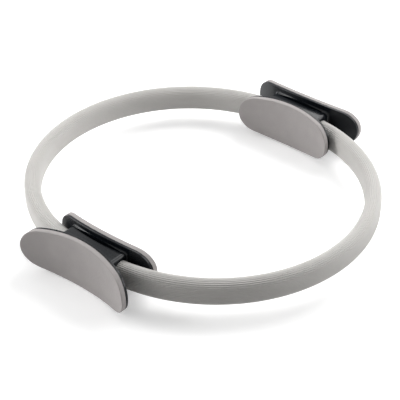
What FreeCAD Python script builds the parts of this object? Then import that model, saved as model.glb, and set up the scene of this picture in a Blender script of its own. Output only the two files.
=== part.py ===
import FreeCAD, Part
import math
import os
from enum import IntEnum
import Sketcher

# Pilates ring: two springy half rings in ribbed sleeves, held in two hourglass handles with soft pads.
# Millimetres. X runs from handle to handle and Z is up.
# The ring lies flat and rests on the lower edges of its outer pads, at Z = 0.

# Driving sizes: name, value, what it is
DRIVING_SIZES = (
    ("bow_radius", 164.0, "centreline radius of each half ring"),
    ("bow_offset", 17.6, "from the handle axis to the centre of each half ring"),
    ("band_thickness", 16.8, "sleeve, measured across the band"),
    ("band_height", 27.6, "sleeve, measured upwards"),
    ("strip_thickness", 4.0, "glass-fibre spring strip"),
    ("strip_height", 20.0, "glass-fibre spring strip"),
    ("strip_gap", 6.0, "between the ends of the two strips inside a handle"),
    ("strip_clearance", 0.3, "round a strip in its sleeve and in the handles"),
    ("sleeve_gap", 0.2, "between a sleeve's end and the handle's end wall"),
    ("outer_stand_off", 8.0, "outside of the band to the middle of an outer pad's face"),
    ("outer_face_radius", 158.0, "hollow of the outer pad's face"),
    ("outer_half_length", 68.6, "outer pad along Y"),
    ("outer_half_height", 27.2, "outer pad at its middle"),
    ("outer_end_radius", 22.8, "round ends of the outer pad's outline"),
    ("inner_stand_off", 7.0, "inside of the band to the middle of an inner pad's face"),
    ("inner_face_radius", 165.0, "hollow of the inner pad's face"),
    ("inner_half_length", 60.5, "inner pad along Y"),
    ("inner_half_height", 25.8, "inner pad at its middle"),
    ("inner_end_radius", 22.4, "round ends of the inner pad's outline"),
    ("pad_thickness", 5.0, "soft pad"),
    ("pad_edge_round", 1.6, "rounded rim of a pad's face"),
    ("backing_thickness", 0.8, "hard plate behind a pad"),
    ("wing_thickness", 1.8, "wing of a handle shell"),
    ("wing_edge_round", 0.6, "rounded rim of a wing's back"),
    ("glue_gap", 0.15, "glue line between pad, backing plate and wing"),
    ("core_half_length", 36.0, "handle core along Y"),
    ("core_inset", 5.8, "top of the inner wing down to the middle of the core's top"),
    ("core_crown", 2.5, "rise of the core from its end walls to its middle"),
    ("core_corner_round", 4.0, "rounded corners of the core's end walls"),
    ("core_blend", 2.8, "hollow fillet between the core and a wing"),
    ("blend_room_share", 0.7, "most of a wing's height above the core that the fillet may take"),
    ("parting_gap", 0.1, "between the two shells of a handle"),
    ("slot_end_wall", 2.0, "core's end wall to where the arcs of a lens-shaped slot would meet"),
    ("slot_width", 3.2, "slot at its middle"),
    ("slot_wall", 0.4, "from a wing's back to the slot at its middle"),
    ("slot_tip_offset", 2.2, "from a wing's back to the slot's tips"),
    ("slot_floor_wall", 1.7, "between a slot's floor and the strip's channel"),
    ("slot_tip_radius", 0.4, "round tips of a slot"),
    ("slot_edge_round", 0.6, "rounded rim of a slot"),
    ("screw_near", 12.0, "handle middle to the near screws"),
    ("screw_end_wall", 10.0, "core's end wall to the far screws"),
    ("screw_shank_radius", 1.75, "clamping screw"),
    ("screw_head_radius", 3.5, "clamping screw"),
    ("screw_head_height", 2.0, "clamping screw"),
    ("screw_length", 12.5, "clamping screw below its head"),
    ("screw_seat", 5.8, "parting plane to the underside of the head"),
    ("screw_clearance", 0.3, "round a screw in its holes"),
    ("cut_overrun", 5.0, "how far a cut or a blank runs past the piece"),
)

# Sizes worked out from the driving ones, in the sheet's own formulas
DERIVED_SIZES = [
    ("layer_depth", "pad_thickness + backing_thickness + wing_thickness + 2 * glue_gap"),
    ("outer_face_distance", "bow_radius + band_thickness / 2 + outer_stand_off"),
    ("inner_face_distance", "bow_radius - band_thickness / 2 - inner_stand_off"),
    ("outer_centre", "outer_face_distance + outer_face_radius"),
    ("inner_centre", "inner_face_distance - inner_face_radius"),
    ("channel_half", "strip_thickness / 2 + strip_clearance"),
    ("channel_height", "strip_height + 2 * strip_clearance"),
    ("bore_half_height", "channel_height / 2"),
    ("bow_outside", "bow_radius + strip_thickness / 2"),
    ("bow_inside", "bow_radius - strip_thickness / 2"),
    ("channel_outside", "bow_radius + channel_half"),
    ("channel_inside", "bow_radius - channel_half"),
    ("channel_end", "core_half_length + cut_overrun"),
    ("channel_outside_end", "sqrt(channel_outside ^ 2 - (channel_end - bow_offset) ^ 2)"),
    ("channel_inside_end", "sqrt(channel_inside ^ 2 - (channel_end - bow_offset) ^ 2)"),
    ("strip_end", "strip_gap / 2"),
    ("band_outside", "bow_radius + band_thickness / 2"),
    ("band_inside", "bow_radius - band_thickness / 2"),
    ("band_straight_half", "(band_height - band_thickness) / 2"),
    ("sleeve_end", "core_half_length + sleeve_gap"),
    ("ring_reach", "bow_radius + band_thickness"),
    ("core_top", "inner_half_height - core_inset"),
    ("core_crown_radius", "(core_half_length ^ 2 + core_crown ^ 2) / (2 * core_crown)"),
    ("core_crown_centre", "core_crown_radius - core_top"),
    ("core_corner_y", "core_half_length - core_corner_round"),
    (
        "core_corner_z",
        "sqrt((core_crown_radius - core_corner_round) ^ 2 - core_corner_y ^ 2) - core_crown_centre",
    ),
    ("core_joint_y", "core_corner_y * core_crown_radius / (core_crown_radius - core_corner_round)"),
    (
        "core_joint_z",
        "(core_corner_z + core_crown_centre) * core_crown_radius / (core_crown_radius - core_corner_round)"
        " - core_crown_centre",
    ),
    ("slot_half_length", "core_half_length - slot_end_wall"),
    ("slot_floor", "bore_half_height + slot_floor_wall"),
    ("slot_depth", "outer_half_height - slot_floor + cut_overrun"),
    ("screw_far", "core_half_length - screw_end_wall"),
    ("screw_seat_place", "bow_radius - screw_seat"),
    ("screw_head_place", "screw_seat_place - screw_head_height"),
    ("screw_hole_radius", "screw_shank_radius + screw_clearance"),
    ("head_hole_radius", "screw_head_radius + screw_clearance"),
    ("pilot_depth", "screw_length - screw_seat + screw_clearance"),
    ("parting_outer", "bow_radius + parting_gap / 2"),
    ("parting_inner", "bow_radius - parting_gap / 2"),
]

# A wing, its plate and its pad share one oval outline of four arcs and one upright axis.
# The outer wing's axis lies beyond the pad, the inner wing's towards the ring's middle.
for wing, back_side, band_side in (("outer", "-", "outside"), ("inner", "+", "inside")):
    hollow_side = "+" if back_side == "-" else "-"
    DERIVED_SIZES += [
        (f"{wing}_end_centre", f"{wing}_half_length - {wing}_end_radius"),
        (
            f"{wing}_crown_radius",
            f"({wing}_end_centre ^ 2 + {wing}_half_height ^ 2 - {wing}_end_radius ^ 2)"
            f" / (2 * ({wing}_half_height - {wing}_end_radius))",
        ),
        (f"{wing}_crown_centre", f"{wing}_crown_radius - {wing}_half_height"),
        (f"{wing}_crown_excess", f"{wing}_crown_radius - {wing}_end_radius"),
        (f"{wing}_joint_y", f"{wing}_end_centre * {wing}_crown_radius / {wing}_crown_excess"),
        (f"{wing}_joint_z", f"{wing}_end_radius * {wing}_crown_centre / {wing}_crown_excess"),
        (f"{wing}_pad_back_radius", f"{wing}_face_radius + pad_thickness"),
        (f"{wing}_backing_radius", f"{wing}_pad_back_radius + glue_gap"),
        (f"{wing}_backing_back_radius", f"{wing}_backing_radius + backing_thickness"),
        (f"{wing}_wing_radius", f"{wing}_backing_back_radius + glue_gap"),
        (f"{wing}_back_radius", f"{wing}_wing_radius + wing_thickness"),
        (f"{wing}_sag", f"{wing}_face_radius - sqrt({wing}_face_radius ^ 2 - {wing}_half_length ^ 2)"),
        (f"{wing}_blank_depth", f"{wing}_sag + layer_depth + 2 * cut_overrun"),
        (f"{wing}_blank_radius", f"{wing}_face_radius + {wing}_blank_depth + {wing}_sag"),
        (
            f"{wing}_core_reach",
            f"{wing}_centre {back_side} sqrt({wing}_back_radius ^ 2 - core_half_length ^ 2)"
            f" {hollow_side} wing_thickness / 2",
        ),
        (
            f"{wing}_slot_tip",
            f"{wing}_centre {back_side} sqrt({wing}_back_radius ^ 2 - slot_half_length ^ 2)"
            f" {back_side} slot_tip_offset",
        ),
        (
            f"{wing}_sleeve_room",
            f"abs({wing}_centre {back_side} sqrt({wing}_back_radius ^ 2 - sleeve_end ^ 2)"
            f" - sqrt(band_{band_side} ^ 2 - (sleeve_end - bow_offset) ^ 2))",
        ),
        (
            f"{wing}_blend",
            f"min(core_blend; blend_room_share * ({wing}_half_height - core_top); {wing}_sleeve_room)",
        ),
        (f"{wing}_slot_far", f"{wing}_centre {back_side} {wing}_back_radius {back_side} slot_wall"),
        (f"{wing}_slot_near", f"{wing}_slot_far {back_side} slot_width"),
    ]
    # A slot lies between two arcs, the far one beside the wing, and has a round tip at each end
    far, near, tip = f"{wing}_slot_far", f"{wing}_slot_near", f"{wing}_slot_round"
    for edge in (far, near):
        rise = f"({wing}_slot_tip - {edge})"
        DERIVED_SIZES += [
            (f"{edge}_centre", f"{edge} + (slot_half_length ^ 2 + {rise} ^ 2) / (2 * {rise})"),
            (f"{edge}_radius", f"abs({edge}_centre - {edge})"),
        ]
    DERIVED_SIZES += [
        (f"{far}_reach", f"{far}_radius + slot_tip_radius"),
        (f"{near}_reach", f"{near}_radius - slot_tip_radius"),
        (
            f"{tip}_x",
            f"({near}_reach ^ 2 - {far}_reach ^ 2 + {far}_centre ^ 2 - {near}_centre ^ 2)"
            f" / (2 * ({far}_centre - {near}_centre))",
        ),
        (f"{tip}_y", f"sqrt({near}_reach ^ 2 - ({tip}_x - {near}_centre) ^ 2)"),
    ]
    for edge in (far, near):
        DERIVED_SIZES += [
            (f"{edge}_joint_x", f"{edge}_centre + ({tip}_x - {edge}_centre) * {edge}_radius / {edge}_reach"),
            (f"{edge}_joint_y", f"{tip}_y * {edge}_radius / {edge}_reach"),
        ]
DERIVED_SIZES += [
    ("outer_blank_start", "outer_face_distance - layer_depth - cut_overrun"),
    ("inner_blank_start", "inner_face_distance - inner_sag - cut_overrun"),
    ("outer_core_depth", "outer_core_reach - parting_outer"),
    ("inner_core_depth", "parting_inner - inner_core_reach"),
    ("head_hole_depth", "screw_seat_place - inner_blank_start"),
]

# Degrees
HALF_TURN = 180.0
QUARTER_TURN = 90.0

UP = FreeCAD.Vector(0, 0, 1)
ORIGIN = FreeCAD.Vector()

# Places along an edge where it is tested, and how near it has to lie, as a share of the wing's thickness
EDGE_TEST_SHARES = (0.0, 0.3, 0.5, 0.8, 1.0)
EDGE_TOLERANCE_SHARE = 0.01

CUBIC_MM_PER_CUBIC_CM = 1000


class SketchAxis(IntEnum):
    """Numbers that a sketch gives to its own axes."""

    X = -1
    Y = -2


class SketchPoint(IntEnum):
    """Numbers that a sketch gives to the points of a line or an arc."""

    START = 1
    END = 2
    CENTRE = 3


doc = FreeCAD.newDocument("PilatesRing")
sheet = doc.addObject("Spreadsheet::Sheet", "Sizes")


def fill_sheet():
    rows = [(name, str(value), note) for name, value, note in DRIVING_SIZES]
    rows += [(name, "=" + formula, "worked out") for name, formula in DERIVED_SIZES]
    for row, (name, content, note) in enumerate(rows, start=1):
        sheet.set(f"A{row}", name)
        sheet.set(f"B{row}", content)
        sheet.setAlias(f"B{row}", name)
        sheet.set(f"C{row}", note)
    doc.recompute()


def size(word):
    """Value of a size word; a minus in front turns its sign, and "0" is zero."""
    if word == "0":
        return 0.0
    value = float(sheet.get(word.lstrip("-")))
    return -value if word.startswith("-") else value


def bound(word):
    """Expression that reads a size word from the sheet."""
    return "-Sizes." + word[1:] if word.startswith("-") else "Sizes." + word


def new_body(label, half_turn):
    """Body lifted so that the outer pads rest at Z = 0, turned half round for the opposite side."""
    body = doc.addObject("PartDesign::Body", label)
    body.Label = label
    body.Placement = FreeCAD.Placement(ORIGIN, FreeCAD.Rotation(UP, HALF_TURN if half_turn else 0.0))
    body.setExpression("Placement.Base.z", bound("outer_half_height"))
    return body


def new_sketch(body, name, plane, offset="0"):
    sketch = body.newObject("Sketcher::SketchObject", f"{body.Label}_{name}")
    origin_plane = next(f for f in body.Origin.OriginFeatures if f.Role == plane)
    sketch.AttachmentSupport = [(origin_plane, "")]
    sketch.MapMode = "FlatFace"
    if offset != "0":
        sketch.setExpression("AttachmentOffset.Base.z", bound(offset))
    return sketch


def hold(sketch, direction, geometry, point, word):
    """Hold one coordinate of a sketch point at a size from the sheet."""
    if word == "0":
        axis = SketchAxis.Y if direction == "DistanceX" else SketchAxis.X
        sketch.addConstraint(Sketcher.Constraint("PointOnObject", geometry, point, axis))
        return
    place = Sketcher.Constraint(direction, SketchAxis.X, SketchPoint.START, geometry, point, size(word))
    index = sketch.addConstraint(place)
    sketch.setExpression(f"Constraints[{index}]", bound(word))


def draw_loop(sketch, corners, arcs=None):
    """Closed outline through corners given as size words.

    arcs gives, for the stretch that starts at a corner's index, its centre and +1 for anticlockwise or -1.
    """
    arcs = arcs or {}
    points = [FreeCAD.Vector(size(x), size(y), 0) for x, y in corners]
    ends = []
    for i, start in enumerate(points):
        finish = points[(i + 1) % len(points)]
        if i not in arcs:
            line = sketch.addGeometry(Part.LineSegment(start, finish))
            ends.append((line, SketchPoint.START, SketchPoint.END))
            continue
        centre_x, centre_y, turn = arcs[i]
        centre = FreeCAD.Vector(size(centre_x), size(centre_y), 0)
        first, last = (start, finish) if turn > 0 else (finish, start)
        circle = Part.Circle(centre, UP, (start - centre).Length)
        arc = sketch.addGeometry(Part.ArcOfCircle(circle, circle.parameter(first), circle.parameter(last)))
        if turn > 0:
            ends.append((arc, SketchPoint.START, SketchPoint.END))
        else:
            ends.append((arc, SketchPoint.END, SketchPoint.START))
    for i, (geometry, start_point, _) in enumerate(ends):
        before, _, end_point = ends[i - 1]
        sketch.addConstraint(Sketcher.Constraint("Coincident", before, end_point, geometry, start_point))
        hold(sketch, "DistanceX", geometry, start_point, corners[i][0])
        hold(sketch, "DistanceY", geometry, start_point, corners[i][1])
        if i in arcs:
            chord = points[(i + 1) % len(points)] - points[i]
            upright = abs(chord.y) > abs(chord.x)
            centre_x, centre_y, _ = arcs[i]
            if upright:
                hold(sketch, "DistanceX", geometry, SketchPoint.CENTRE, centre_x)
            else:
                hold(sketch, "DistanceY", geometry, SketchPoint.CENTRE, centre_y)


def draw_circle(sketch, centre_x, centre_y, radius):
    centre = FreeCAD.Vector(size(centre_x), size(centre_y), 0)
    geometry = sketch.addGeometry(Part.Circle(centre, UP, size(radius)))
    hold(sketch, "DistanceX", geometry, SketchPoint.CENTRE, centre_x)
    hold(sketch, "DistanceY", geometry, SketchPoint.CENTRE, centre_y)
    index = sketch.addConstraint(Sketcher.Constraint("Radius", geometry, size(radius)))
    sketch.setExpression(f"Constraints[{index}]", bound(radius))


def extrude(body, kind, sketch, length, both_ways=False, reverse=False):
    """Pad or Pocket of a sketch, with its length from the sheet."""
    before = body.Shape.Volume if body.Shape.Solids else 0.0
    feature = body.newObject(f"PartDesign::{kind}", f"{sketch.Label}_{kind.lower()}")
    feature.Profile = sketch
    feature.setExpression("Length", bound(length))
    feature.SideType = "Symmetric" if both_ways else "One side"
    feature.Reversed = reverse
    doc.recompute()
    grew = body.Shape.Volume - before
    if (kind == "Pad") != (grew > 0) or grew == 0:
        raise RuntimeError(f"{feature.Label} changed the volume by {grew:.3f}")
    return feature


def mirror(body, feature, plane):
    mirrored = body.newObject("PartDesign::Mirrored", f"{feature.Label}_mirrored")
    mirrored.Originals = [feature]
    mirrored.MirrorPlane = (next(f for f in body.Origin.OriginFeatures if f.Role == plane), [""])
    body.Tip = mirrored
    doc.recompute()
    return mirrored


def round_edges(body, name, radius, wanted):
    """Fillet every edge of the body that the test picks, in the body's own frame."""
    base = body.Tip
    edges = [f"Edge{i}" for i, edge in enumerate(base.Shape.Edges, start=1) if wanted(edge)]
    fillet = body.newObject("PartDesign::Fillet", f"{body.Label}_{name}")
    fillet.Base = (base, edges)
    fillet.setExpression("Radius", bound(radius))
    doc.recompute()
    return fillet


def on_axis_radius(edge, wing, radius):
    """True for an edge that lies at a radius from the wing's upright axis all along."""
    tolerance = size("wing_thickness") * EDGE_TOLERANCE_SHARE
    axis = FreeCAD.Vector(size(f"{wing}_centre"), 0, 0)
    low, high = edge.ParameterRange
    points = [edge.valueAt(low + (high - low) * share) - axis for share in EDGE_TEST_SHARES]
    return all(abs(math.hypot(point.x, point.y) - size(radius)) < tolerance for point in points)


def add_oval_blank(body, wing):
    """Oval slab along X, deep enough for the wing's hollow."""
    sketch = new_sketch(body, "oval", "YZ_Plane", f"{wing}_blank_start")
    joint_y, joint_z = f"{wing}_joint_y", f"{wing}_joint_z"
    corners = [
        (joint_y, f"-{joint_z}"),
        (joint_y, joint_z),
        (f"-{joint_y}", joint_z),
        (f"-{joint_y}", f"-{joint_z}"),
    ]
    arcs = {
        0: (f"{wing}_end_centre", "0", 1),
        1: ("0", f"-{wing}_crown_centre", 1),
        2: (f"-{wing}_end_centre", "0", 1),
        3: ("0", f"{wing}_crown_centre", 1),
    }
    draw_loop(sketch, corners, arcs)
    extrude(body, "Pad", sketch, f"{wing}_blank_depth")


def cut_behind(body, wing, radius):
    """Remove what lies further from the wing's axis than a radius."""
    sketch = new_sketch(body, "behind", "XY_Plane")
    draw_circle(sketch, f"{wing}_centre", "0", radius)
    draw_circle(sketch, f"{wing}_centre", "0", f"{wing}_blank_radius")
    extrude(body, "Pocket", sketch, "ring_reach", both_ways=True)


def cut_hollow(body, wing, radius):
    """Remove what lies nearer to the wing's axis than a radius."""
    sketch = new_sketch(body, "hollow", "XY_Plane")
    draw_circle(sketch, f"{wing}_centre", "0", radius)
    extrude(body, "Pocket", sketch, "ring_reach", both_ways=True)


def make_layer(label, wing, half_turn, hollow_radius, back_radius):
    """Curved oval sheet between two radii from the wing's axis."""
    body = new_body(label, half_turn)
    add_oval_blank(body, wing)
    cut_behind(body, wing, back_radius)
    cut_hollow(body, wing, hollow_radius)
    return body


def make_pad(label, wing, half_turn):
    body = make_layer(label, wing, half_turn, f"{wing}_face_radius", f"{wing}_pad_back_radius")
    face = f"{wing}_face_radius"
    round_edges(body, "rim", "pad_edge_round", lambda edge: on_axis_radius(edge, wing, face))
    return body


def make_backing(label, wing, half_turn):
    return make_layer(label, wing, half_turn, f"{wing}_backing_radius", f"{wing}_backing_back_radius")


def add_core(body, wing):
    """Half of the handle core, from the parting plane into the wing: crowned, with flat end walls."""
    sketch = new_sketch(body, "core", "YZ_Plane", f"parting_{wing}")
    length, corner_y, corner_z = "core_half_length", "core_corner_y", "core_corner_z"
    joint_y, joint_z = "core_joint_y", "core_joint_z"
    corners = [
        (length, f"-{corner_z}"),
        (length, corner_z),
        (joint_y, joint_z),
        (f"-{joint_y}", joint_z),
        (f"-{length}", corner_z),
        (f"-{length}", f"-{corner_z}"),
        (f"-{joint_y}", f"-{joint_z}"),
        (joint_y, f"-{joint_z}"),
    ]
    arcs = {
        1: (corner_y, corner_z, 1),
        2: ("0", "-core_crown_centre", 1),
        3: (f"-{corner_y}", corner_z, 1),
        5: (f"-{corner_y}", f"-{corner_z}", 1),
        6: ("0", "core_crown_centre", 1),
        7: (corner_y, f"-{corner_z}", 1),
    }
    draw_loop(sketch, corners, arcs)
    extrude(body, "Pad", sketch, f"{wing}_core_depth", reverse=(wing == "inner"))


def blend_core(body, wing):
    """Hollow fillets where the core's top, bottom and end walls meet the wing's back."""
    limit = size("core_half_length") + size(f"{wing}_blend")

    def is_root(edge):
        if not on_axis_radius(edge, wing, f"{wing}_back_radius"):
            return False
        box = edge.BoundBox
        return max(abs(box.YMin), abs(box.YMax)) < limit

    round_edges(body, "blend", f"{wing}_blend", is_root)


def cut_slots(body, wing):
    """Lens-shaped slots beside the wing, sunk into the core from above and below."""
    sketch = new_sketch(body, "slot", "XY_Plane", "slot_floor")
    far, near, tip = f"{wing}_slot_far", f"{wing}_slot_near", f"{wing}_slot_round"
    turn = 1 if wing == "outer" else -1
    corners = [
        (f"{far}_joint_x", f"-{far}_joint_y"),
        (f"{far}_joint_x", f"{far}_joint_y"),
        (f"{near}_joint_x", f"{near}_joint_y"),
        (f"{near}_joint_x", f"-{near}_joint_y"),
    ]
    arcs = {
        0: (f"{far}_centre", "0", -turn),
        1: (f"{tip}_x", f"{tip}_y", turn),
        2: (f"{near}_centre", "0", turn),
        3: (f"{tip}_x", f"-{tip}_y", turn),
    }
    draw_loop(sketch, corners, arcs)
    slot = extrude(body, "Pocket", sketch, "slot_depth", reverse=True)
    mirror(body, slot, "XY_Plane")


def cut_strip_channel(body):
    """Channel through the core for the ends of both strips."""
    sketch = new_sketch(body, "channel", "XY_Plane")
    outside, inside = "channel_outside", "channel_inside"
    corners = [
        (outside, "-bow_offset"),
        (outside, "bow_offset"),
        ("channel_outside_end", "channel_end"),
        ("channel_inside_end", "channel_end"),
        (inside, "bow_offset"),
        (inside, "-bow_offset"),
        ("channel_inside_end", "-channel_end"),
        ("channel_outside_end", "-channel_end"),
    ]
    arcs = {
        1: ("0", "bow_offset", 1),
        3: ("0", "bow_offset", -1),
        5: ("0", "-bow_offset", -1),
        7: ("0", "-bow_offset", 1),
    }
    draw_loop(sketch, corners, arcs)
    extrude(body, "Pocket", sketch, "channel_height", both_ways=True)


def screw_places():
    return [sign + word for word in ("screw_near", "screw_far") for sign in ("", "-")]


def cut_screw_holes(body, name, offset, radius, depth, outwards=False):
    """Round holes for all screws of a handle, from an offset towards the ring's middle or outwards."""
    sketch = new_sketch(body, name, "YZ_Plane", offset)
    for place in screw_places():
        draw_circle(sketch, place, "0", radius)
    extrude(body, "Pocket", sketch, depth, reverse=outwards)


def round_slot_rims(body, wing):
    """Round the rims of the slots all along."""
    centre, radius = size(f"{wing}_slot_near_centre"), size(f"{wing}_slot_near_radius")
    tolerance = size("wing_thickness") * EDGE_TOLERANCE_SHARE

    def is_rim(edge):
        low, high = edge.ParameterRange
        points = [edge.valueAt(low + (high - low) * share) for share in EDGE_TEST_SHARES]
        if any(abs(point.z) < size("slot_floor") + size("slot_edge_round") for point in points):
            return False
        return all(abs(math.hypot(point.x - centre, point.y) - radius) < tolerance for point in points)

    round_edges(body, "slot_rim", "slot_edge_round", is_rim)


def make_shell(label, wing, half_turn):
    """Handle shell: a wing with half of the core moulded to its back."""
    body = new_body(label, half_turn)
    add_oval_blank(body, wing)
    back = f"{wing}_back_radius"
    cut_behind(body, wing, back)
    round_edges(body, "rim", "wing_edge_round", lambda edge: on_axis_radius(edge, wing, back))
    add_core(body, wing)
    cut_hollow(body, wing, f"{wing}_wing_radius")
    blend_core(body, wing)
    cut_slots(body, wing)
    cut_strip_channel(body)
    if wing == "outer":
        cut_screw_holes(body, "pilot_holes", "bow_radius", "screw_hole_radius", "pilot_depth", outwards=True)
    else:
        cut_screw_holes(body, "screw_holes", "bow_radius", "screw_hole_radius", "screw_seat")
        cut_screw_holes(body, "head_holes", "screw_seat_place", "head_hole_radius", "head_hole_depth")
    round_slot_rims(body, wing)
    return body


def make_sleeve(label, half_turn):
    """Half-ring tube with round upper and lower sides, cut square where it meets the handles."""
    body = new_body(label, half_turn)
    section = new_sketch(body, "section", "XZ_Plane", "-bow_offset")
    straight = "band_straight_half"
    corners = [
        ("band_outside", f"-{straight}"),
        ("band_outside", straight),
        ("band_inside", straight),
        ("band_inside", f"-{straight}"),
    ]
    draw_loop(section, corners, {1: ("bow_radius", straight, 1), 3: ("bow_radius", f"-{straight}", 1)})
    height = "bore_half_height"
    bore = [
        ("channel_outside", f"-{height}"),
        ("channel_outside", height),
        ("channel_inside", height),
        ("channel_inside", f"-{height}"),
    ]
    draw_loop(section, bore)
    turned = body.newObject("PartDesign::Revolution", f"{label}_turned")
    turned.Profile = section
    turned.ReferenceAxis = (section, ["V_Axis"])
    turned.Angle = HALF_TURN
    doc.recompute()
    trim = new_sketch(body, "trim", "XY_Plane")
    reach = "ring_reach"
    end = "sleeve_end"
    draw_loop(trim, [(reach, f"-{reach}"), (reach, end), (f"-{reach}", end), (f"-{reach}", f"-{reach}")])
    extrude(body, "Pocket", trim, reach, both_ways=True)
    return body


def make_strip(label, half_turn):
    """Half-ring spring strip with straight ends that reach into both handles."""
    body = new_body(label, half_turn)
    sketch = new_sketch(body, "plan", "XY_Plane")
    outside, inside, end = "bow_outside", "bow_inside", "strip_end"
    corners = [
        (outside, end),
        (outside, "bow_offset"),
        (f"-{outside}", "bow_offset"),
        (f"-{outside}", end),
        (f"-{inside}", end),
        (f"-{inside}", "bow_offset"),
        (inside, "bow_offset"),
        (inside, end),
    ]
    draw_loop(sketch, corners, {1: ("0", "bow_offset", 1), 5: ("0", "bow_offset", -1)})
    extrude(body, "Pad", sketch, "strip_height", both_ways=True)
    holes = new_sketch(body, "holes", "YZ_Plane")
    for place in ("screw_near", "screw_far"):
        draw_circle(holes, place, "0", "screw_hole_radius")
    holes_cut = extrude(body, "Pocket", holes, "ring_reach")
    mirror(body, holes_cut, "YZ_Plane")
    return body


def make_screws(label, half_turn):
    """The clamping screws of one handle: separate solids, heads towards the ring's middle."""
    sign, spin = ("-", -QUARTER_TURN) if half_turn else ("", QUARTER_TURN)
    along = FreeCAD.Placement(ORIGIN, FreeCAD.Rotation(FreeCAD.Vector(0, 1, 0), spin))
    screws = []
    for index, place in enumerate(screw_places()):
        pieces = []
        for part, radius, length, start in (
            ("shank", "screw_shank_radius", "screw_length", "screw_seat_place"),
            ("head", "screw_head_radius", "screw_head_height", "screw_head_place"),
        ):
            piece = doc.addObject("Part::Cylinder", f"{label}_{part}_{index}")
            piece.Placement = along
            piece.setExpression("Radius", bound(radius))
            piece.setExpression("Height", bound(length))
            piece.setExpression("Placement.Base.x", bound(sign + start))
            piece.setExpression("Placement.Base.y", bound(place))
            piece.setExpression("Placement.Base.z", bound("outer_half_height"))
            pieces.append(piece)
        screw = doc.addObject("Part::Fuse", f"{label}_{index}")
        screw.Base, screw.Tool = pieces
        screws.append(screw)
    group = doc.addObject("Part::Compound", label)
    group.Label = label
    group.Links = screws
    doc.recompute()
    return group


def build_all():
    fill_sheet()
    nodes = []
    for bow, half_turn in (("left", False), ("right", True)):
        nodes.append(make_strip(f"{bow}_bow_strip", half_turn))
        nodes.append(make_sleeve(f"{bow}_bow_sleeve", half_turn))
    for handle, half_turn in (("front", True), ("back", False)):
        for wing in ("outer", "inner"):
            nodes.append(make_shell(f"{handle}_{wing}_shell", wing, half_turn))
            nodes.append(make_backing(f"{handle}_{wing}_backing", wing, half_turn))
            nodes.append(make_pad(f"{handle}_{wing}_pad", wing, half_turn))
        nodes.append(make_screws(f"{handle}_screws", half_turn))
    return nodes


def check_all(nodes):
    """Stop before writing if any object failed or any sub-part's shape is empty or invalid."""
    failed = [o.Name for o in doc.Objects if "Invalid" in o.State or "Error" in o.State]
    bad = [n.Label for n in nodes if n.Shape.isNull() or not n.Shape.isValid() or not n.Shape.Solids]
    if failed or bad:
        raise RuntimeError(f"failed objects {failed}, bad shapes {bad}")


def write_all(nodes):
    os.makedirs("parts", exist_ok=True)
    for node in nodes:
        node.Shape.exportStep(os.path.join("parts", f"{node.Label}.step"))
        volume = node.Shape.Volume / CUBIC_MM_PER_CUBIC_CM
        print(f"{node.Label}: {len(node.Shape.Solids)} solid, {volume:.2f} cm3")


sub_parts = build_all()
doc.recompute()
check_all(sub_parts)
write_all(sub_parts)
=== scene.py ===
import math
from collections import namedtuple

import bpy
from mathutils import Matrix, Vector


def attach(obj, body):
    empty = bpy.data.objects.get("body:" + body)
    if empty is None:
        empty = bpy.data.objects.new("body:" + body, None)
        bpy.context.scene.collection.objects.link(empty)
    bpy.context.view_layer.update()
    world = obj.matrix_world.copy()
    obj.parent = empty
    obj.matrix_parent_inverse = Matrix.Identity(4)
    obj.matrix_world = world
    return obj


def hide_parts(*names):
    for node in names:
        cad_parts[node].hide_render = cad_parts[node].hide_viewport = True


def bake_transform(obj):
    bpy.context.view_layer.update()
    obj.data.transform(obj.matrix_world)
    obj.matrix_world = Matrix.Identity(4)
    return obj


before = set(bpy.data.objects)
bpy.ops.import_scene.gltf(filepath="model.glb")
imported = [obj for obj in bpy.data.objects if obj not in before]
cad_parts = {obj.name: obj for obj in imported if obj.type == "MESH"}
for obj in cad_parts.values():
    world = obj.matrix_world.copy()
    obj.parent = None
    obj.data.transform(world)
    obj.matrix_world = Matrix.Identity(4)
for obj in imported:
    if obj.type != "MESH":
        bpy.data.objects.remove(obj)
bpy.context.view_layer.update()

# Sizes of the ring in metres, as its solids have them
MM = 0.001
MID_HEIGHT = 27.2 * MM
BOW_RADIUS = 164.0 * MM
BOW_OFFSET = 17.6 * MM
BAND_THICKNESS = 16.8 * MM
BAND_HEIGHT = 27.6 * MM
SLEEVE_END = 36.2 * MM
STRIP_THICKNESS = 4.0 * MM
STRIP_HEIGHT = 20.0 * MM
STRIP_END = 3.0 * MM
STRIP_CLEARANCE = 0.3 * MM
SCREW_PLACES = (12.0 * MM, 26.0 * MM)
SCREW_HOLE_RADIUS = 2.05 * MM
PAD_THICKNESS = 5.0 * MM

# Edge rounds, which differ a little from those of the solids
STRIP_EDGE_ROUND = 0.4 * MM
PAD_EDGE_ROUND = 1.0 * MM

# Ribs that run along a sleeve, and the places across one rib that carry its shape
RIB_COUNT = 38
RIB_DEPTH = 0.6 * MM
RIB_POINT_SHARES = (0.0, 0.08, 0.2, 0.35, 0.5, 0.65, 0.8, 0.92)
RIB_SHARPNESS = 2.0

# A pad's face: the hollow's distance, side and radius, and its oval outline of four arcs
Wing = namedtuple(
    "Wing",
    "face_distance hollow_side face_radius half_length half_height end_radius",
)
WINGS = {
    "outer": Wing(180.4 * MM, 1, 158.0 * MM, 68.6 * MM, 27.2 * MM, 22.8 * MM),
    "inner": Wing(148.6 * MM, -1, 165.0 * MM, 60.5 * MM, 25.8 * MM, 22.4 * MM),
}

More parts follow.
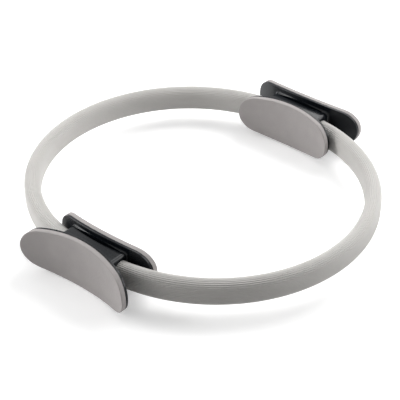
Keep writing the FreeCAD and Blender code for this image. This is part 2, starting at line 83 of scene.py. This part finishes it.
# Fineness of the meshes
BOW_STEPS = 128
PAD_COLUMNS = 96
PAD_ROWS = 48
PAD_RIM_STEPS = 5
STRIP_ROUND_STEPS = 2
SCREW_HOLE_SIDES = 32
MERGE_DISTANCE = 0.001 * MM
LEAST_REACH = 1e-9
BEVEL_ANGLE = math.radians(60)
SLEEVE_SMOOTH_ANGLE = math.radians(50)
STRIP_SMOOTH_ANGLE = math.radians(40)
PAD_SMOOTH_ANGLE = math.radians(40)

# Names of the two bodies that the pads are attached to
FRONT_BODY = "front_handle_and_bows"
BACK_BODY = "back_handle"

# The photograph's camera
CAMERA_PLACE = Vector((-812.4 * MM, -681.7 * MM, 769.3 * MM))
CAMERA_AIM = Vector((-8.65 * MM, -4.85 * MM, 13.25 * MM))
CAMERA_LENS_MM = 111.04
CAMERA_SENSOR_MM = 36.0

# The floor, whose glow rises to white from near the ring to far away
FLOOR_SIZE = 8.0
FLOOR_DROP = 0.1 * MM
FLOOR_LIFT = 0.35
FLOOR_NEAR = 0.4
FLOOR_FAR = 1.2

# Soft lamps round the ring: azimuth and height in degrees, width in metres and watts
LIGHT_DISTANCE = 1.6
LIGHTS = {
    "back_light": (5, 45, 1.2, 18.0),
    "far_light": (85, 45, 1.2, 7.0),
    "left_light": (130, 20, 1.1, 18.5),
    "right_light": (315, 32, 1.2, 15.0),
    "top_light": (0, 90, 1.2, 2.5),
}
FILL_LIGHT = 0.05
WHITE = (1, 1, 1, 1)


def linear(hex_colour):
    """An sRGB hex colour as linear red, green, blue and alpha."""
    parts = [int(hex_colour[i:i + 2], 16) / 255 for i in (1, 3, 5)]
    return [c / 12.92 if c <= 0.04045 else ((c + 0.055) / 1.055) ** 2.4 for c in parts] + [1.0]


def add_node(tree, kind, inputs=None, **settings):
    """Add a node with its settings; an input is a value, or another node's output to link."""
    node = tree.nodes.new(kind)
    for name, value in settings.items():
        setattr(node, name, value)
    for name, value in (inputs or {}).items():
        if isinstance(value, bpy.types.NodeSocket):
            tree.links.new(value, node.inputs[name])
        else:
            node.inputs[name].default_value = value
    return node


def new_material(name):
    """An empty material: its node tree, its shader and the output that takes it."""
    material = bpy.data.materials.new(name)
    material.use_nodes = True
    tree = material.node_tree
    tree.nodes.clear()
    shader = add_node(tree, "ShaderNodeBsdfPrincipled")
    add_node(tree, "ShaderNodeOutputMaterial", {"Surface": shader.outputs["BSDF"]})
    return material, tree, shader


def lay_finish(tree, shader, cloud, colours, roughness, grain, strength, depth):
    """An uneven finish: a cloud carries colour and roughness, and a grain raises the surface."""
    colour = add_node(tree, "ShaderNodeValToRGB", {"Fac": cloud})
    for stop, hex_colour in zip(colour.color_ramp.elements, colours):
        stop.color = linear(hex_colour)
    least, most = roughness
    rough = add_node(
        tree,
        "ShaderNodeMapRange",
        {"Value": cloud, "To Min": least, "To Max": most},
    )
    bump = add_node(
        tree,
        "ShaderNodeBump",
        {"Height": grain, "Strength": strength, "Distance": depth},
    )
    tree.links.new(colour.outputs["Color"], shader.inputs["Base Color"])
    tree.links.new(rough.outputs["Result"], shader.inputs["Roughness"])
    tree.links.new(bump.outputs["Normal"], shader.inputs["Normal"])


def sleeve_rubber():
    """Extruded soft rubber: matt, pale warm grey, a little cloudy, with a dry grain."""
    cloud_size = 40 * MM
    # The real grain, about 0.3 mm, is too fine to show, so it is drawn coarser
    grain_size = 1.2 * MM
    material, tree, shader = new_material("extruded_rubber_sleeve")
    place = add_node(tree, "ShaderNodeTexCoord").outputs["Object"]
    cloud = add_node(
        tree,
        "ShaderNodeTexNoise",
        {"Vector": place, "Scale": 1 / cloud_size, "Detail": 4.0},
    ).outputs["Fac"]
    grain = add_node(
        tree,
        "ShaderNodeTexNoise",
        {"Vector": place, "Scale": 1 / grain_size, "Detail": 2.0},
    ).outputs["Fac"]
    lay_finish(
        tree,
        shader,
        cloud,
        colours=("#BDBBB8", "#C8C6C3"),
        roughness=(0.55, 0.69),
        grain=grain,
        strength=0.2,
        depth=0.15 * MM,
    )
    shader.inputs["Specular IOR Level"].default_value = 0.35
    return material


def pad_foam():
    """Closed-cell foam with a moulded skin: matt mid grey, faintly mottled, with a pebbled face."""
    cloud_size = 16 * MM
    # The real pebble, about 0.5 mm, is too fine to show, so it is drawn coarser
    pebble_size = 2.5 * MM
    material, tree, shader = new_material("moulded_foam_pad")
    place = add_node(tree, "ShaderNodeTexCoord").outputs["Object"]
    cloud = add_node(
        tree,
        "ShaderNodeTexNoise",
        {"Vector": place, "Scale": 1 / cloud_size, "Detail": 5.0},
    ).outputs["Fac"]
    pebble = add_node(
        tree,
        "ShaderNodeTexNoise",
        {"Vector": place, "Scale": 1 / pebble_size, "Detail": 3.0},
    ).outputs["Fac"]
    lay_finish(
        tree,
        shader,
        cloud,
        colours=("#989493", "#A8A3A2"),
        roughness=(0.62, 0.78),
        grain=pebble,
        strength=0.5,
        depth=0.6 * MM,
    )
    shader.inputs["Specular IOR Level"].default_value = 0.35
    return material


def black_plastic(name, colours, roughness, shine):
    """Moulded ABS: near black, with a soft gloss that isn't quite even and a faint grain."""
    cloud_size = 12 * MM
    # The real grain, about 0.2 mm, is too fine to show, so it is drawn coarser
    grain_size = 2.0 * MM
    material, tree, shader = new_material(name)
    place = add_node(tree, "ShaderNodeTexCoord").outputs["Object"]
    cloud = add_node(
        tree,
        "ShaderNodeTexNoise",
        {"Vector": place, "Scale": 1 / cloud_size, "Detail": 4.0},
    ).outputs["Fac"]
    grain = add_node(
        tree,
        "ShaderNodeTexNoise",
        {"Vector": place, "Scale": 1 / grain_size, "Detail": 3.0},
    ).outputs["Fac"]
    lay_finish(tree, shader, cloud, colours, roughness, grain, strength=0.15, depth=0.15 * MM)
    shader.inputs["Specular IOR Level"].default_value = shine
    return material


def glass_fibre():
    """Pultruded glass fibre: pale green, with long fibres just under a satin resin surface."""
    fibre_length, fibre_width = 60 * MM, 0.6 * MM
    material, tree, shader = new_material("pultruded_glass_fibre")
    place = add_node(tree, "ShaderNodeTexCoord").outputs["Object"]
    drawn = add_node(
        tree,
        "ShaderNodeMapping",
        {"Vector": place, "Scale": (1 / fibre_length, 1 / fibre_length, 1 / fibre_width)},
    )
    fibres = add_node(
        tree,
        "ShaderNodeTexNoise",
        {"Vector": drawn.outputs["Vector"], "Scale": 1.0, "Detail": 2.0},
    ).outputs["Fac"]
    lay_finish(
        tree,
        shader,
        fibres,
        colours=("#C4C7A8", "#D6D8BE"),
        roughness=(0.34, 0.46),
        grain=fibres,
        strength=0.1,
        depth=0.05 * MM,
    )
    return material


def zinc_steel():
    """Zinc-plated steel: pale grey metal with a soft, slightly uneven shine."""
    haze_size = 1.5 * MM
    material, tree, shader = new_material("zinc_plated_steel")
    place = add_node(tree, "ShaderNodeTexCoord").outputs["Object"]
    haze = add_node(
        tree,
        "ShaderNodeTexNoise",
        {"Vector": place, "Scale": 1 / haze_size, "Detail": 3.0},
    ).outputs["Fac"]
    lay_finish(
        tree,
        shader,
        haze,
        colours=("#C2C2C6", "#CECED2"),
        roughness=(0.25, 0.45),
        grain=haze,
        strength=0.05,
        depth=0.02 * MM,
    )
    shader.inputs["Metallic"].default_value = 1.0
    return material


def deselect_all():
    """Leave nothing selected, so that the next operator takes only the new piece."""
    bpy.ops.object.select_all(action="DESELECT")


def finish_mesh(piece, smooth_angle):
    """Merge doubles, point the faces outwards and shade smooth up to an angle."""
    bpy.ops.object.mode_set(mode="EDIT")
    bpy.ops.mesh.select_all(action="SELECT")
    bpy.ops.mesh.remove_doubles(threshold=MERGE_DISTANCE)
    bpy.ops.mesh.normals_make_consistent(inside=False)
    bpy.ops.object.mode_set(mode="OBJECT")
    bpy.ops.object.shade_smooth_by_angle(angle=smooth_angle)
    return piece


def apply_modifier(piece, kind, **settings):
    """Add a modifier with its settings and apply it."""
    modifier = piece.modifiers.new(kind.lower(), kind)
    for name, value in settings.items():
        setattr(modifier, name, value)
    bpy.context.view_layer.objects.active = piece
    bpy.ops.object.modifier_apply(modifier=modifier.name)


def half_turned(piece, name):
    """A copy of a piece on the opposite side of the ring, with its own mesh."""
    mesh = piece.data.copy()
    mesh.transform(Matrix.Rotation(math.pi, 4, "Z"))
    copy = bpy.data.objects.new(name, mesh)
    bpy.context.scene.collection.objects.link(copy)
    return copy


def ribbed_section():
    """Points round a sleeve's section, (outwards, up): straight sides, round ends, and ribs."""
    radius = BAND_THICKNESS / 2
    straight = BAND_HEIGHT - BAND_THICKNESS
    arc = math.pi * radius
    pitch = 2 * (straight + arc) / RIB_COUNT
    points = []
    for rib in range(RIB_COUNT):
        for share in RIB_POINT_SHARES:
            depth = RIB_DEPTH * abs(2 * share - 1) ** RIB_SHARPNESS
            along = (rib + share) * pitch
            side = 1 if along < straight + arc else -1
            rest = along if side > 0 else along - straight - arc
            if rest < straight:
                point = ((radius - depth) * side, (rest - straight / 2) * side)
            else:
                angle = (rest - straight) / radius
                point = (
                    (radius - depth) * math.cos(angle) * side,
                    (straight / 2 + (radius - depth) * math.sin(angle)) * side,
                )
            points.append(point)
    return points


def spin_bow():
    """Spin what is selected half round the left bow."""
    bpy.ops.mesh.spin(
        steps=BOW_STEPS,
        angle=-math.pi,
        center=(0, BOW_OFFSET, MID_HEIGHT),
        axis=(0, 0, 1),
    )


def spun_wall(name, section):
    """An outline, (outwards, up), spun round the left bow and cut square, with open ends."""
    deselect_all()
    bpy.ops.mesh.primitive_circle_add(vertices=len(section), radius=BAND_THICKNESS / 2)
    wall = bpy.context.object
    wall.name = name
    for vertex, (outwards, up) in zip(wall.data.vertices, section):
        vertex.co = (BOW_RADIUS + outwards, BOW_OFFSET, MID_HEIGHT + up)
    bpy.ops.object.mode_set(mode="EDIT")
    bpy.ops.mesh.select_all(action="SELECT")
    spin_bow()
    bpy.ops.mesh.select_all(action="SELECT")
    bpy.ops.mesh.bisect(plane_co=(0, SLEEVE_END, 0), plane_no=(0, 1, 0), clear_inner=True)
    bpy.ops.object.mode_set(mode="OBJECT")
    return wall


def make_sleeve(name):
    """The left bow's sleeve: a ribbed wall and the bore for the strip, joined by flat ends."""
    x = STRIP_THICKNESS / 2 + STRIP_CLEARANCE
    z = STRIP_HEIGHT / 2 + STRIP_CLEARANCE
    bore = spun_wall("bore", [(x, -z), (x, z), (-x, z), (-x, -z)])
    sleeve = spun_wall(name, ribbed_section())
    bore.select_set(True)
    bpy.ops.object.join()
    for side in (1, -1):
        bpy.ops.object.mode_set(mode="EDIT")
        bpy.ops.mesh.select_mode(type="EDGE")
        bpy.ops.mesh.select_all(action="DESELECT")
        bpy.ops.mesh.select_non_manifold()
        bpy.ops.object.mode_set(mode="OBJECT")
        for edge in sleeve.data.edges:
            place = sleeve.data.vertices[edge.vertices[0]].co
            edge.select = edge.select and place.x * side > 0
        bpy.ops.object.mode_set(mode="EDIT")
        bpy.ops.mesh.fill()
        bpy.ops.object.mode_set(mode="OBJECT")
    return finish_mesh(sleeve, SLEEVE_SMOOTH_ANGLE)


def drill_strip(strip, place):
    """Drill a screw hole through both ends of a strip."""
    deselect_all()
    bpy.ops.mesh.primitive_cylinder_add(
        vertices=SCREW_HOLE_SIDES,
        radius=SCREW_HOLE_RADIUS,
        depth=2 * (BOW_RADIUS + BAND_THICKNESS),
        location=(0, place, MID_HEIGHT),
        rotation=(0, math.pi / 2, 0),
    )
    drill = bpy.context.object
    apply_modifier(strip, "BOOLEAN", object=drill, operation="DIFFERENCE", solver="EXACT")
    bpy.data.objects.remove(drill)
    strip.select_set(True)


def make_strip(name):
    """The left bow's spring strip: a flat section drawn out, spun, drawn out again and drilled."""
    deselect_all()
    bpy.ops.mesh.primitive_plane_add(
        size=1,
        rotation=(math.pi / 2, 0, 0),
        location=(BOW_RADIUS, STRIP_END, MID_HEIGHT),
    )
    strip = bpy.context.object
    strip.name = name
    strip.scale = (STRIP_THICKNESS, STRIP_HEIGHT, 1)
    bpy.ops.object.transform_apply(location=True, rotation=True, scale=True)
    straight = (0, BOW_OFFSET - STRIP_END, 0)
    bpy.ops.object.mode_set(mode="EDIT")
    bpy.ops.mesh.select_all(action="SELECT")
    bpy.ops.mesh.extrude_region_move(TRANSFORM_OT_translate={"value": straight})
    spin_bow()
    bpy.ops.mesh.extrude_region_move(TRANSFORM_OT_translate={"value": [-c for c in straight]})
    bpy.ops.object.mode_set(mode="OBJECT")
    finish_mesh(strip, STRIP_SMOOTH_ANGLE)
    apply_modifier(
        strip,
        "BEVEL",
        width=STRIP_EDGE_ROUND,
        segments=STRIP_ROUND_STEPS,
        limit_method="ANGLE",
        angle_limit=BEVEL_ANGLE,
    )
    for place in SCREW_PLACES:
        drill_strip(strip, place)
    return finish_mesh(strip, STRIP_SMOOTH_ANGLE)


def crown_radius(wing):
    """Radius of the long arcs of a wing's oval outline."""
    end_centre = wing.half_length - wing.end_radius
    squares = end_centre**2 + wing.half_height**2 - wing.end_radius**2
    return squares / (2 * (wing.half_height - wing.end_radius))


def outline_arc(wing, y, z):
    """Centre (y, z) and radius of the arc of the outline that passes beside a point."""
    end_centre = wing.half_length - wing.end_radius
    crown = crown_radius(wing)
    if abs(y) > end_centre * crown / (crown - wing.end_radius):
        return math.copysign(end_centre, y), 0.0, wing.end_radius
    return 0.0, math.copysign(crown - wing.half_height, -z), crown


def outline_half_height(wing, y):
    """Half the height of the oval outline at a place along it."""
    centre_y, centre_z, radius = outline_arc(wing, y, 1.0)
    return centre_z + math.sqrt(max(radius**2 - (y - centre_y) ** 2, 0))


def wing_place(wing, y, depth):
    """X of the wing's curved layer at a depth behind the pad's face, on the back handle."""
    centre = wing.face_distance + wing.hollow_side * wing.face_radius
    return centre - wing.hollow_side * math.sqrt((wing.face_radius + depth) ** 2 - y**2)


def narrowed(wing, inset):
    """The same oval drawn in by an inset all round."""
    return wing._replace(
        half_length=wing.half_length - inset,
        half_height=wing.half_height - inset,
        end_radius=wing.end_radius - inset,
    )


def oval_grid(name, wing):
    """A square grid drawn into the wing's oval, with no poles, and laid on the pad's face."""
    deselect_all()
    bpy.ops.mesh.primitive_grid_add(x_subdivisions=PAD_COLUMNS, y_subdivisions=PAD_ROWS, size=2)
    sheet = bpy.context.object
    sheet.name = name
    for vertex in sheet.data.vertices:
        u, v, _ = vertex.co
        across = u * math.sqrt(1 - v * v / 2)
        rise = v * math.sqrt(1 - u * u / 2)
        reach = math.sqrt(max(1 - across * across, 0))
        y = wing.half_length * across
        z = outline_half_height(wing, y) * rise / max(reach, abs(rise), LEAST_REACH)
        vertex.co = (wing_place(wing, y, 0), y, MID_HEIGHT + z)
    return sheet


def make_pad(name, wing):
    """A back handle's pad: the face drawn out to its thickness, its wall rounded at the face."""
    inner = narrowed(wing, PAD_EDGE_ROUND)
    pad = oval_grid(name, inner)
    bpy.ops.object.mode_set(mode="EDIT")
    bpy.ops.mesh.select_all(action="SELECT")
    bpy.ops.mesh.extrude_region_move()
    bpy.ops.object.mode_set(mode="OBJECT")
    drawn = {v.index for v in pad.data.vertices if v.select}
    for index in drawn:
        vertex = pad.data.vertices[index]
        vertex.co.x = wing_place(wing, vertex.co.y, PAD_THICKNESS)
    grid_count = len(pad.data.vertices)
    bpy.ops.object.mode_set(mode="EDIT")
    bpy.ops.mesh.select_mode(type="EDGE")
    bpy.ops.mesh.select_all(action="DESELECT")
    bpy.ops.object.mode_set(mode="OBJECT")
    for edge in pad.data.edges:
        first, second = edge.vertices
        edge.select = (first in drawn) != (second in drawn)
    bpy.ops.object.mode_set(mode="EDIT")
    bpy.ops.mesh.subdivide(number_cuts=PAD_RIM_STEPS + 1)
    bpy.ops.object.mode_set(mode="OBJECT")
    for vertex in pad.data.vertices[grid_count:]:
        _, y, z = vertex.co
        z -= MID_HEIGHT
        front, back = wing_place(wing, y, 0), wing_place(wing, y, PAD_THICKNESS)
        step = round((vertex.co.x - front) / (back - front) * (PAD_RIM_STEPS + 2))
        turn = math.pi / 2 * min(step / PAD_RIM_STEPS, 1)
        depth = PAD_THICKNESS
        if step <= PAD_RIM_STEPS:
            depth = PAD_EDGE_ROUND * (1 - math.cos(turn))
        centre_y, centre_z, _ = outline_arc(inner, y, z)
        away = Vector((y - centre_y, z - centre_z)).normalized()
        out = away * PAD_EDGE_ROUND * math.sin(turn)
        y += out.x
        vertex.co = (wing_place(wing, y, depth), y, MID_HEIGHT + z + out.y)
    return finish_mesh(pad, PAD_SMOOTH_ANGLE)


def give(piece, material):
    """Give a piece its material."""
    piece.data.materials.clear()
    piece.data.materials.append(material)


def add_bows():
    """Both bows' sleeves and strips, which curve round between the handles."""
    for kind, make, material, slot in (
        ("sleeve", make_sleeve, sleeve_rubber(), "ribbed_sleeve"),
        ("strip", make_strip, glass_fibre(), "glass_fibre_strip"),
    ):
        left = make(f"left_{kind}")
        right = half_turned(left, f"right_{kind}")
        for side, piece in (("left", left), ("right", right)):
            give(piece, material)
            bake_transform(piece)
            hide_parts(f"{side}_bow_{kind}")


def add_pads():
    """The four foam pads, which ride on their handles."""
    foam = pad_foam()
    for wing_name, wing in WINGS.items():
        back = make_pad(f"back_{wing_name}_foam", wing)
        front = half_turned(back, f"front_{wing_name}_foam")
        for handle, body, piece in (("back", BACK_BODY, back), ("front", FRONT_BODY, front)):
            give(piece, foam)
            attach(piece, body)
            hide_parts(f"{handle}_{wing_name}_pad")


def dress_solids():
    """Materials for the solids that stay in view: shells, backing plates and screws."""
    finishes = {
        "shell": black_plastic(
            "semi_gloss_abs_shell",
            colours=("#0D1014", "#161A1F"),
            roughness=(0.14, 0.24),
            shine=0.22,
        ),
        "backing": black_plastic(
            "matt_abs_backing",
            colours=("#0F1012", "#151618"),
            roughness=(0.4, 0.5),
            shine=0.2,
        ),
        "screws": zinc_steel(),
    }
    for name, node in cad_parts.items():
        kind = name.rsplit("_", 1)[-1]
        if kind in finishes:
            node.data.materials.clear()
            node.data.materials.append(finishes[kind])


def seen_share(tree):
    """1 where the background is seen, mirrored or looked at through glass, and 0 elsewhere."""
    path = add_node(tree, "ShaderNodeLightPath").outputs
    share = path["Is Camera Ray"]
    for ray in ("Is Glossy Ray", "Is Transmission Ray"):
        both = add_node(tree, "ShaderNodeMath", {0: share, 1: path[ray]}, operation="MAXIMUM")
        share = both.outputs["Value"]
    return share


def add_floor():
    """A pale floor, white to the camera where no shadow falls."""
    deselect_all()
    bpy.ops.mesh.primitive_plane_add(size=FLOOR_SIZE, location=(0, 0, -FLOOR_DROP))
    floor = bpy.context.object
    floor.name = "floor"
    material, tree, shader = new_material("white_floor")
    shader.inputs["Base Color"].default_value = linear("#F0F0F0")
    shader.inputs["Roughness"].default_value = 0.9
    shader.inputs["Specular IOR Level"].default_value = 0.1
    shader.inputs["Emission Color"].default_value = WHITE
    place = add_node(tree, "ShaderNodeTexCoord").outputs["Object"]
    away = add_node(tree, "ShaderNodeVectorMath", {0: place}, operation="LENGTH")
    lift = add_node(
        tree,
        "ShaderNodeMapRange",
        {
            "Value": away.outputs["Value"],
            "From Min": FLOOR_NEAR,
            "From Max": FLOOR_FAR,
            "To Min": FLOOR_LIFT,
        },
    )
    glow = add_node(
        tree,
        "ShaderNodeMath",
        {0: seen_share(tree), 1: lift.outputs["Result"]},
        operation="MULTIPLY",
    )
    tree.links.new(glow.outputs["Value"], shader.inputs["Emission Strength"])
    floor.data.materials.append(material)


def add_world():
    """A weak even fill, white where the floor ends."""
    world = bpy.data.worlds.new("studio")
    bpy.context.scene.world = world
    world.use_nodes = True
    tree = world.node_tree
    level = add_node(
        tree,
        "ShaderNodeMath",
        {0: seen_share(tree), 1: FILL_LIGHT},
        operation="MAXIMUM",
    )
    shade = tree.nodes["Background"]
    shade.inputs["Color"].default_value = WHITE
    tree.links.new(level.outputs["Value"], shade.inputs["Strength"])


def add_lights():
    """Large soft lamps round and above the ring, which the camera doesn't see."""
    for name, (azimuth, height, width, watts) in LIGHTS.items():
        around, up = math.radians(azimuth), math.radians(height)
        level = math.cos(up)
        way = Vector((math.cos(around) * level, math.sin(around) * level, math.sin(up)))
        deselect_all()
        bpy.ops.object.light_add(type="AREA", location=way * LIGHT_DISTANCE)
        light = bpy.context.object
        light.name = name
        light.data.shape = "DISK"
        light.data.size = width
        light.data.energy = watts
        light.rotation_euler = (-way).to_track_quat("-Z", "Y").to_euler()
        light.visible_camera = False


def add_camera():
    """The camera where the photograph was taken from."""
    deselect_all()
    bpy.ops.object.camera_add(location=CAMERA_PLACE)
    camera = bpy.context.object
    camera.data.lens = CAMERA_LENS_MM
    camera.data.sensor_width = CAMERA_SENSOR_MM
    camera.rotation_euler = (CAMERA_AIM - CAMERA_PLACE).to_track_quat("-Z", "Y").to_euler()
    bpy.context.scene.camera = camera


bpy.context.scene.view_settings.view_transform = "Standard"
add_bows()
add_pads()
dress_solids()
add_floor()
add_world()
add_lights()
add_camera()
